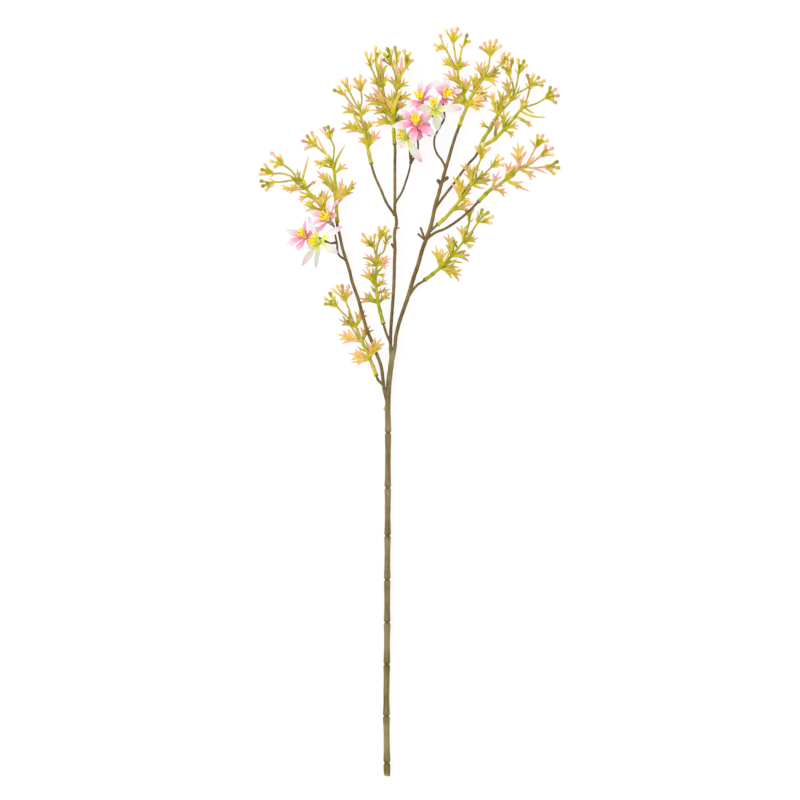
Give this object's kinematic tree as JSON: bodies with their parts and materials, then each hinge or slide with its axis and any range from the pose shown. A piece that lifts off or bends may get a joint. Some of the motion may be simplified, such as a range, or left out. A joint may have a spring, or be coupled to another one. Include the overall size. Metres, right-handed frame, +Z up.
{
  "type": "artificial star-flower spray stem",
  "caption": "Artificial spray on a jointed plastic stem that forks into three branches, with cut foliage, clustered buds and pink and white star flowers, lying down.",
  "frame": {"origin": "middle of the spray seen from above, at the level of the surface that it lies on", "axes": "+Y along the stem from its cut end to the flowers, +Z up from the surface, +X to the right seen from above"},
  "size_m": [0.3025, 0.7504, 0.0386],
  "materials": {
    "stem": "matt moulded",
    "wire": "drawn",
    "twig": "matt moulded",
    "foliage": "satin moulded",
    "calyx": "satin moulded",
    "pink_petal": "dyed, with pressed veins",
    "white_petal": "dyed, with pressed veins",
    "stamen": "satin moulded"
  },
  "bodies": {
    "root": {"trunk": "stem", "trunk_wire": "wire", "branch_left": "twig", "branch_centre": "twig", "branch_right": "twig", "sprig_left_low": "foliage", "sprig_left_inner": "foliage", "sprig_left_top": "foliage", "sprig_centre_left": "foliage", "sprig_centre_top": "foliage", "sprig_right_top": "foliage", "sprig_right_outer": "foliage", "sprig_right_far": "foliage", "sprig_right_inner": "foliage", "sprig_right_low": "foliage", "flower_left_front_calyx": "calyx", "flower_left_front_petals": "white_petal", "flower_left_front_stamens": "stamen", "flower_left_side_calyx": "calyx", "flower_left_side_petals": "pink_petal", "flower_left_side_stamens": "stamen", "flower_left_top_calyx": "calyx", "flower_left_top_petals": "pink_petal", "flower_left_top_stamens": "stamen", "flower_centre_front_calyx": "calyx", "flower_centre_front_petals": "pink_petal", "flower_centre_front_stamens": "stamen", "flower_centre_back_calyx": "calyx", "flower_centre_back_petals": "white_petal", "flower_centre_back_stamens": "stamen", "flower_centre_side_calyx": "calyx", "flower_centre_side_petals": "pink_petal", "flower_centre_side_stamens": "stamen", "flower_right_front_calyx": "calyx", "flower_right_front_petals": "white_petal", "flower_right_front_stamens": "stamen", "flower_right_side_calyx": "calyx", "flower_right_side_petals": "pink_petal", "flower_right_side_stamens": "stamen", "flower_right_top_calyx": "calyx", "flower_right_top_petals": "pink_petal", "flower_right_top_stamens": "stamen"}
  },
  "joints": []
}
